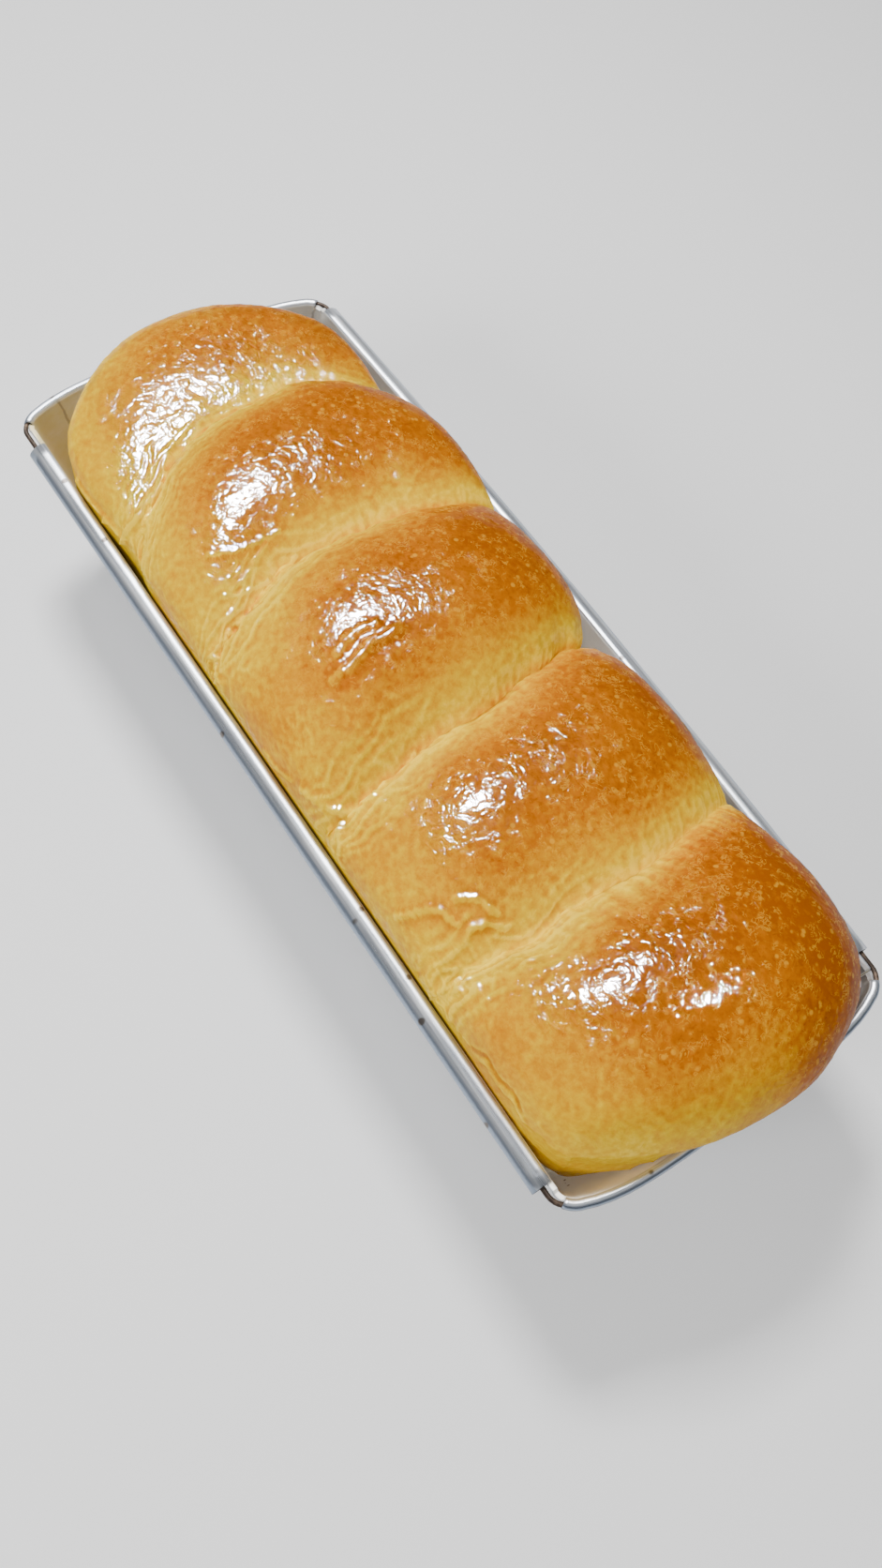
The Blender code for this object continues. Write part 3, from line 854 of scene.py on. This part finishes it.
@dataclass
class Loaf:
    """The loaf: five crowns in one, a skirt down into the tin and a flat foot."""

    tin: TinForm = field(default_factory=TinForm)
    finish: CrustFinish = field(default_factory=CrustFinish)
    widest: float = 9.0
    gap: float = 0.6
    corner: float = 10.0
    rim_clear: float = 3.4
    side_clear: float = 1.6
    side_tuck: float = 2.4
    foot_fillet: float = 4.0
    crown_power: float = 2.3
    roll_length: float = 64.0
    arc_radius: float = 55.0
    left_press: float = 1.0
    waver: float = 2.0
    swell_power: float = 2.1
    swell_root: float = 1.6
    roll_columns: int = 88
    arc_rows: int = 180
    skirt_brown: float = 0.24
    # A thin darker line at the bottom of these folds: painted shade in the crease.
    shaded_seams: tuple = (1, 2, 3)
    seam_shade: float = 0.22
    seam_width: float = 1.2
    share_pull: float = 0.85
    fold_reach: int = 4
    fold_passes: int = 4
    relief_step: int = 2
    fade: float = 6.0
    skirt_rows: tuple = (7.6, 6.2, 4.8, 4.0, 3.4, 2.8, 2.2, 1.6, 0.0)
    deep_rows: tuple = (0.9, 0.5)
    lump: tuple = (30.0, 0.55)
    dimple: tuple = (12.0, 0.28)
    crease: tuple = (4.6, 0.20)
    grain: tuple = (2.2, 0.08)
    bend: tuple = (7.0, 2.2)
    folds: tuple = (
        Fold(-151.0, -169.5, -151.0, 26.0, 35.0, 9.0),
        Fold(-94.0, -114.0, -80.0, 51.0, 56.0, 19.0),
        Fold(-37.0, -50.0, -31.0, 55.0, 57.5, 18.0),
        Fold(22.0, 27.0, 36.0, 47.0, 57.3, 17.5),
        Fold(92.0, 96.0, 95.0, 53.0, 57.6, 18.5),
        Fold(164.0, 172.6, 152.0, 40.0, 51.0, 9.0),
    )
    rolls: tuple = (
        Roll(53.0, 57.4, 24.5, 0.68),
        Roll(60.3, 57.6, 32.0, 0.80),
        Roll(57.6, 57.7, 38.5, 0.84),
        Roll(58.0, 57.6, 34.0, 0.86),
        Roll(57.8, 57.9, 39.0, 0.92),
    )
    ridges: tuple = (
        Ridge(((-121.5, -57.0, 77.1), (-114.0, -57.3, 80.3), (-105.9, -57.0, 81.0),
               (-102.8, -56.7, 76.7)), 0.9, 1.5),
        Ridge(((-102.4, -56.7, 77.0), (-93.5, -56.1, 80.8), (-92.0, -56.0, 79.9)), 0.9, 1.5),
        Ridge(((-92.0, -56.0, 79.9), (-93.1, -50.7, 87.2), (-95.3, -46.6, 88.5), (-98.3, -41.0, 89.5),
               (-102.7, -36.0, 90.4)), 1.1, 1.5),
        Ridge(((-86.8, -50.1, 86.5), (-94.5, -45.3, 88.5), (-99.1, -39.5, 89.6)), 0.8, 1.35),
        Ridge(((-61.8, -42.0, 97.9), (-58.3, -34.5, 98.8), (-57.7, -26.3, 98.9),
               (-57.7, -17.6, 98.9)), 0.7, 0.75),
        Ridge(((-47.6, -44.4, 94.1), (-46.2, -37.8, 93.5), (-47.1, -29.4, 92.5)), 0.7, 0.75),
        Ridge(((-34.5, -57.0, 83.6), (-36.4, -53.7, 87.2), (-39.4, -47.1, 89.3), (-42.8, -36.9, 89.3),
               (-46.3, -26.8, 90.1), (-50.2, -17.0, 93.3)), 0.9, 1.05),
        Ridge(((-35.0, -55.6, 85.6), (-26.9, -57.0, 84.2)), 0.8, 1.2),
        Ridge(((-39.3, -46.1, 89.1),), 1.0, -1.4),
        Ridge(((-41.8, -40.5, 90.1),), 0.8, -1.35),
        Ridge(((-1.8, -10.7, 109.5), (-2.0, -19.9, 108.8), (-1.0, -23.9, 108.1), (0.3, -27.4, 107.5),
               (2.3, -35.5, 105.3)), 1.3, 1.65),
        Ridge(((-6.3, -14.5, 109.6), (-7.4, -19.8, 109.2), (-7.3, -25.6, 108.3),
               (-4.5, -29.9, 107.2)), 1.0, 1.35),
        Ridge(((0.5, -57.6, 82.8), (7.7, -57.5, 83.2), (14.2, -57.2, 85.6)), 0.8, 1.05),
        Ridge(((20.5, -56.4, 87.7), (25.0, -55.6, 88.3), (29.0, -54.2, 88.7), (32.5, -51.8, 88.2),
               (33.5, -47.4, 87.3)), 1.6, 1.5),
        Ridge(((33.5, -47.4, 87.3), (36.2, -42.4, 91.7), (31.1, -32.1, 88.6),
               (29.0, -24.2, 91.4)), 1.0, 1.05),
        Ridge(((35.1, -51.7, 85.7), (40.5, -56.2, 85.5), (45.7, -57.4, 80.1)), 1.1, 1.35),
        Ridge(((69.6, -55.9, 88.5), (73.8, -50.8, 94.2), (76.6, -46.8, 96.4),
               (82.6, -45.4, 95.8)), 1.0, 0.9),
        Ridge(((77.2, -42.0, 98.4), (80.3, -36.8, 99.5), (86.7, -34.5, 97.7)), 1.0, 1.05),
        Ridge(((85.4, -43.1, 95.8), (87.3, -38.0, 96.6), (91.0, -33.9, 95.3)), 0.9, 1.05),
        Ridge(((92.6, -57.6, 80.4), (93.7, -55.3, 85.4), (95.2, -49.1, 87.3), (94.3, -43.6, 90.3),
               (95.8, -35.0, 89.7), (95.7, -29.8, 90.5), (95.4, -17.5, 92.1),
               (95.4, -2.6, 92.1)), 1.1, 1.2),
        Ridge(((97.6, -57.5, 81.2), (103.8, -57.5, 80.7), (111.4, -57.7, 81.1), (116.6, -57.0, 87.3),
               (123.8, -57.4, 86.1), (130.1, -56.8, 87.9), (134.1, -57.2, 84.8)), 0.7, -0.7),
        Ridge(((97.6, -57.5, 79.0), (103.8, -57.5, 79.0), (112.4, -57.7, 80.0), (118.0, -57.0, 85.0),
               (124.8, -57.4, 84.0), (131.1, -56.8, 85.6), (136.1, -57.2, 82.5)), 1.0, 0.55),
    )

    def fold_x(self, number: int, turn: float) -> float:
        """Return a fold's x at a turn, with the waver of real dough on the folds between rolls."""
        x = self.folds[number].x(turn)
        if 0 < number < len(self.rolls):
            x += self.waver * noise.noise(Vector((turn * 3.0, 7.0 * number, 0.5)))
            x += 0.4 * self.waver * noise.noise(Vector((turn * 11.0, 3.0 * number, 4.5)))
        return x

    def crown_point(self, roll: int, share: float, angle: float) -> Vector:
        """Return a point on one roll's crown.

        Args:
            roll: The roll's number, from the far end.
            share: How far the point is from the roll's far fold to its near one.
            angle: 0 at the right side, a quarter turn at the top and a half turn at the left.

        Returns:
            The point, in millimetres.
        """
        far, near, full = self.folds[roll], self.folds[roll + 1], self.rolls[roll]
        swell = max(1.0 - abs(2.0 * share - 1.0) ** self.swell_power, 0.0) ** (1.0 / self.swell_root)
        turn = math.cos(angle)
        x = mix(self.fold_x(roll, turn), self.fold_x(roll + 1, turn), share)
        if turn > 0.0:
            width = mix(mix(far.right_width, near.right_width, share), full.right_width, swell)
        else:
            width = mix(mix(far.left_width, near.left_width, share), full.left_width, swell)
            width += self.left_press
        top = mix(mix(far.height, near.height, share), full.height, swell)
        power = 2.0 / self.crown_power
        y = width * math.copysign(abs(turn) ** power, turn)
        rise = (top - self.widest) * max(math.sin(angle), 0.0) ** power
        return Vector((x, y, self.tin.rim_z + self.widest + rise))

    def brown_at(self, roll: int, share: float, angle: float) -> float:
        """Return how brown the crust has baked at a point: pale by the folds and browner on the crowns.

        Three of the folds also get a thin darker line along their bottom: painted shade in the crease,
        added to the browning.
        """
        turn = math.cos(angle)
        across = 1.0 - ramp(-turn, 0.10, 0.97) * 0.68 + ramp(turn, 0.1, 0.8) * 0.12
        middle = mix(0.46, 0.38, ramp(turn, -0.5, 0.6))
        reach = 0.55 if share > middle else 0.40
        along = max(1.0 - abs((share - middle) / reach) ** mix(2.0, 3.2, ramp(turn, -0.3, 0.7)), 0.0)
        if roll == 0 and share < middle:
            along = max(along, 0.7 * ramp(share, -0.05, 0.35))
        if roll == len(self.rolls) - 1 and share > middle:
            end = mix(0.35, 0.85, ramp(turn, -0.2, 0.5))
            full = 0.55 + 0.45 * ramp(turn, -0.6, 0.6)
            along = max(along, mix(1.0, end, ramp(share, 0.6, 1.05)) * full)
        # Painted shade: a thin darker line along the bottom of three folds.
        crease_shade = 0.0
        for fold, from_fold in ((roll, share), (roll + 1, 1.0 - share)):
            if fold in self.shaded_seams:
                crease_shade += self.seam_shade * bell(from_fold * self.roll_length, self.seam_width)
        return mix(0.10, self.rolls[roll].browning, along * across) + crease_shade

    def fold_lift(self, roll: int, share: float, angle: float) -> float:
        """Return the lift of the gathers and fibres beside the folds between the rolls."""
        if roll == 0 and share < 0.5 or roll == len(self.rolls) - 1 and share > 0.5:
            return 0.0
        from_fold = min(share, 1.0 - share) * self.roll_length
        along, turn = angle * self.arc_radius, math.cos(angle)
        left = ramp(-turn, -0.2, 0.85)
        seed = 17.0 * roll + (5.0 if share > 0.5 else 0.0)
        warp = 2.5 * noise.noise(Vector((from_fold / 9.0, along / 15.0, seed)))
        gathers = noise.noise(Vector(((from_fold + warp) / 3.6, along / 24.0, seed + 1.0)))
        gathers = 1.0 - min(abs(gathers) * 2.6, 1.0)
        fibres = noise.noise(Vector(((from_fold + warp) / 9.0, along / 1.8, seed + 2.0)))
        near = ramp(from_fold, 20.0, 3.0)
        lift = near * mix(0.25, 1.0, left) * gathers * gathers
        last = roll == len(self.rolls) - 1 or roll == len(self.rolls) - 2 and share > 0.5
        stretch = ramp(from_fold, 15.0 if last else 9.0, 1.0)
        return lift + (0.55 if last else 0.35) * stretch * fibres * mix(1.0, 0.6, left)

    def skin_lift(self, place: Vector) -> float:
        """Return how far the skin stands out from the smooth crown at a place, in millimetres.

        The fields lump, dimple, crease, grain and bend each hold a size and a height.
        """
        lift = self.lump[1] * noise.noise(place / self.lump[0])
        lift += self.dimple[1] * noise.noise(place / self.dimple[0] + Vector((5.0, 1.0, 2.0)))
        shifts = (Vector(), Vector((9.1, 0.0, 0.0)), Vector((0.0, 7.3, 0.0)))
        size, height = self.bend
        bent = place + height * Vector([noise.noise(place / size + shift) for shift in shifts])
        crease = 1.0 - min(abs(noise.noise(bent / self.crease[0])) * 2.4, 1.0)
        patch = ramp(noise.noise(place / 16.0 + Vector((3.0, 8.0, 1.0))), -0.25, 0.35)
        lift += self.crease[1] * crease * crease * mix(0.35, 1.0, patch)
        return lift + self.grain[1] * noise.noise(bent / self.grain[0])

    def inside_tin(self, x: float, y: float, z: float) -> tuple:
        """Return a point of the widest line, moved in where it would pass the tin's wall."""
        half_width = self.tin.half_width(x, z, Side.RIGHT if y > 0.0 else Side.LEFT) - self.gap
        half_length = self.tin.half_length(y, z, x > 0.0) - self.gap
        across, along = min(abs(y), half_width), min(abs(x), half_length)
        past_x = along - (half_length - self.corner)
        past_y = across - (half_width - self.corner)
        past = math.hypot(past_x, past_y)
        if past_x > 0.0 and past_y > 0.0 and past > self.corner:
            along -= past_x * (1.0 - self.corner / past)
            across -= past_y * (1.0 - self.corner / past)
        return math.copysign(along, x), math.copysign(across, y)

    def skirt_places(self, edge: list, z: float, inset: float) -> list:
        """Return the loaf's outline at a height below its widest line."""
        rim_z = self.tin.rim_z
        places = []
        for point in edge:
            x, y = self.inside_tin(point.x, point.y, min(z, rim_z))
            clear_x, clear_y = rim_z + self.rim_clear, rim_z + self.side_clear
            if z > clear_x:
                rise = (z - clear_x) / (rim_z + self.widest - clear_x)
                x = mix(x, point.x, math.sin(rise * math.pi / 2.0))
            if z > clear_y:
                y = mix(y, point.y, math.sin(min((z - clear_y) / self.side_tuck, 1.0) * math.pi / 2.0))
            places.append((x * (1.0 - inset / self.tin.floor_half_length),
                           y * (1.0 - inset / self.tin.floor_half_width), z))
        return places

    def build(self) -> Object:
        """Build and dress the loaf.

        Returns:
            The loaf's object.
        """
        shape = bmesh.new()
        browning = shape.verts.layers.float.new("browning")
        relief_shade = shape.verts.layers.float.new("relief_shade")
        columns = self.roll_columns * len(self.rolls)
        bmesh.ops.create_grid(shape, x_segments=columns, y_segments=self.arc_rows, size=1.0)
        grid, facts = {}, {}
        for vertex in shape.verts:
            column = round((vertex.co.x + 1.0) / 2.0 * columns)
            row = round((vertex.co.y + 1.0) / 2.0 * self.arc_rows)
            roll = min(column // self.roll_columns, len(self.rolls) - 1)
            step = (column - roll * self.roll_columns) / self.roll_columns
            share = mix(step, (1.0 - math.cos(math.pi * step)) / 2.0, self.share_pull)
            angle = math.pi * row / self.arc_rows
            vertex.co = self.crown_point(roll, share, angle)
            vertex[browning] = self.brown_at(roll, share, angle)
            grid[column, row] = vertex
            facts[vertex] = (roll, share, angle)
        for fold in range(1, len(self.rolls)):
            middle = fold * self.roll_columns
            near_fold = [grid[column, row]
                         for column in range(middle - self.fold_reach, middle + self.fold_reach + 1)
                         for row in range(2, self.arc_rows - 1)]
            for _ in range(self.fold_passes):
                bmesh.ops.smooth_vert(shape, verts=near_fold, factor=0.5, use_axis_x=True,
                                      use_axis_y=True, use_axis_z=True)
        loop = ([grid[column, 0] for column in range(columns + 1)]
                + [grid[columns, row] for row in range(1, self.arc_rows)]
                + [grid[column, self.arc_rows] for column in range(columns, -1, -1)]
                + [grid[0, row] for row in range(self.arc_rows - 1, 0, -1)])
        edge = [vertex.co.copy() for vertex in loop]
        baked = [vertex[browning] for vertex in loop]
        rim_z = self.tin.rim_z
        for z, inset in self.skirt_heights():
            loop = extrude_run(shape, loop, self.skirt_places(edge, z, inset), closed=True)
            for vertex, brown in zip(loop, baked):
                vertex[browning] = mix(self.skirt_brown, brown,
                                       ramp(z, rim_z - self.fade, rim_z + self.fade))
        bmesh.ops.contextual_create(shape, geom=[shape.edges.get(pair)
                                                 for pair in zip(loop, loop[1:] + loop[:1])])
        bmesh.ops.recalc_face_normals(shape, faces=shape.faces)
        shape.normal_update()
        clear_z = rim_z + self.rim_clear
        crown = kdtree.KDTree(len(facts))
        for number, vertex in enumerate(facts):
            crown.insert(vertex.co, number)
        crown.balance()
        creases = Creases(self.ridges, crown)
        lifts = {}
        for spot, vertex in grid.items():
            lift = self.skin_lift(vertex.co) + self.fold_lift(*facts[vertex]) + creases.lift(vertex.co)
            lifts[spot] = lift * ramp(vertex.co.z, clear_z, clear_z + self.fade)
        # Each point's height above its neighbours, which the crust's colour turns into painted shade in
        # hollows and painted light on ridges.
        reach = self.relief_step
        for (column, row), vertex in grid.items():
            lift = lifts[column, row]
            beside = [lifts.get((column + step_x, row + step_y), lift)
                      for step_x, step_y in ((-reach, 0), (reach, 0), (0, -reach), (0, reach))]
            vertex[relief_shade] = lift - sum(beside) / len(beside)
            vertex.co += vertex.normal * lift
        return finish_mesh("glazed_loaf", shape, self.finish.material(), "loaf")

    def skirt_heights(self) -> list:
        """Return the skirt's rows below the widest line, each with its inset."""
        rim_z, foot_z = self.tin.rim_z, self.tin.sheet + self.gap
        rows = [(rim_z + above, 0.0) for above in self.skirt_rows]
        rows += [(rim_z * share, 0.0) for share in self.deep_rows]
        return rows + [(foot_z + self.foot_fillet, 0.0), (foot_z, self.foot_fillet)]


class LampUse(Enum):
    """What a lamp is for: plain light, a highlight on the crust, or light on or inside the tin."""

    LIGHT = "light"
    CRUST = "crust"
    SHEET = "sheet"
    INSIDE = "inside"


@dataclass(frozen=True)
class SoftBox:
    """A soft studio lamp: the direction it stands in, its distance, size and power."""

    name: str
    direction: tuple
    distance: float
    width: float
    depth: float
    power: float
    use: LampUse = LampUse.LIGHT
    spread: float = math.pi
    aim: tuple = (0.0, 0.0, 0.09)

    def build(self, lit: dict) -> None:
        """Hang the lamp so that it faces its aim.

        Args:
            lit: The collection that each use of a lamp is kept to, for those that have one.
        """
        light = bpy.data.lights.new(self.name, "AREA")
        light.shape = "RECTANGLE"
        light.size, light.size_y = self.width, self.depth
        light.energy = self.power
        light.spread = self.spread
        lamp = add_object(self.name, light)
        toward = Vector(self.direction).normalized()
        lamp.location = Vector(self.aim) + toward * self.distance
        lamp.rotation_euler = toward.to_track_quat("Z", "Y").to_euler()
        lamp.visible_glossy = self.use is not LampUse.LIGHT
        lamp.visible_diffuse = self.use is not LampUse.CRUST
        if self.use in lit:
            lamp.light_linking.receiver_collection = lit[self.use]
        if self.use is LampUse.INSIDE:
            lamp.light_linking.blocker_collection = lit[self.use]


@dataclass
class Studio:
    """The floor, the light and the camera, in metres."""

    floor_half: float = 3.0
    sky: tuple = (1.0, 1.0, 1.0)
    sky_strength: float = 0.16
    camera_place: tuple = (0.179867, -0.157512, 0.460692)
    camera_azimuth: float = math.radians(45.614)
    camera_elevation: float = math.radians(62.375)
    camera_roll: float = math.radians(11.374)
    lens: float = 31.87
    sensor: float = 36.0
    lamps: tuple = (
        SoftBox("window", (-0.43, 0.10, 0.89), 1.0, 0.24, 0.20, 11.5),
        SoftBox("overhead", (0.0, 0.0, 1.0), 1.6, 1.5, 1.5, 3.0),
        SoftBox("left_fill", (0.10, -0.85, 0.55), 1.3, 0.5, 0.4, 12.0),
        SoftBox("near_fill", (0.38, -0.33, 0.87), 1.2, 0.4, 0.4, 5.0),
        SoftBox("window_on_crust", (-0.43, 0.10, 0.89), 1.0, 0.22, 0.18, 1500.0, LampUse.CRUST),
        SoftBox("near_on_crust", (0.14, 0.37, 0.92), 0.3, 0.02, 0.02, 0.04, LampUse.CRUST,
                math.radians(8.0), (0.140, -0.0025, 0.110)),
        SoftBox("window_on_tin", (-0.43, 0.10, 0.89), 1.0, 0.60, 0.50, 24.0, LampUse.SHEET),
        SoftBox("overhead_on_tin", (0.0, 0.0, 1.0), 1.6, 2.4, 2.4, 14.0, LampUse.SHEET),
        SoftBox("inside_near_end", (-0.75, 0.0, 0.66), 1.3, 0.6, 0.5, 4.0, LampUse.INSIDE),
    )

    def build(self, loaf: Object, metal: tuple) -> None:
        """Lay the floor, hang the lamps over the loaf and its metal pieces and set the camera."""
        shape = bmesh.new()
        bmesh.ops.create_grid(shape, x_segments=1, y_segments=1, size=self.floor_half)
        mesh = bpy.data.meshes.new("floor")
        shape.to_mesh(mesh)
        shape.free()
        mesh.materials.append(FloorFinish().material())
        floor = add_object("floor", mesh)
        world = bpy.data.worlds.new("soft_sky")
        world.use_nodes = True
        background = world.node_tree.nodes["Background"]
        background.inputs["Color"].default_value = (*self.sky, 1.0)
        background.inputs["Strength"].default_value = self.sky_strength
        bpy.context.scene.world = world
        lit = {}
        for use, pieces in ((LampUse.CRUST, (loaf,)), (LampUse.SHEET, metal), (LampUse.INSIDE, metal)):
            lit[use] = bpy.data.collections.new("lit_" + use.value)
            for piece in pieces:
                lit[use].objects.link(piece)
        for lamp in self.lamps:
            lamp.build(lit)
        self.set_camera()

    def set_camera(self) -> None:
        """Stand the camera where the photograph was taken from."""
        azimuth, elevation, roll = self.camera_azimuth, self.camera_elevation, self.camera_roll
        level_right = Vector((math.cos(azimuth), math.sin(azimuth), 0.0))
        level_up = Vector((-math.sin(azimuth) * math.sin(elevation),
                           math.cos(azimuth) * math.sin(elevation), math.cos(elevation)))
        right = math.cos(roll) * level_right + math.sin(roll) * level_up
        up = math.cos(roll) * level_up - math.sin(roll) * level_right
        turn = Matrix((right, up, right.cross(up))).transposed().to_4x4()
        lens = bpy.data.cameras.new("camera")
        lens.lens = self.lens
        lens.sensor_width = self.sensor
        lens.clip_start = 0.01
        camera = add_object("camera", lens)
        camera.matrix_world = Matrix.Translation(self.camera_place) @ turn
        bpy.context.scene.camera = camera


def main() -> None:
    """Build the loaf, its tin and the rim wire, and set up the studio."""
    logging.basicConfig(level=logging.INFO, format="%(name)s: %(message)s")
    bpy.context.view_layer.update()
    tin = Tin()
    sheet = tin.build()
    wire = RimWire().build(-tin.roll_section()[0][0])
    loaf = Loaf().build()
    Studio().build(loaf, (sheet, wire))


if __name__ == "__main__":
    main()
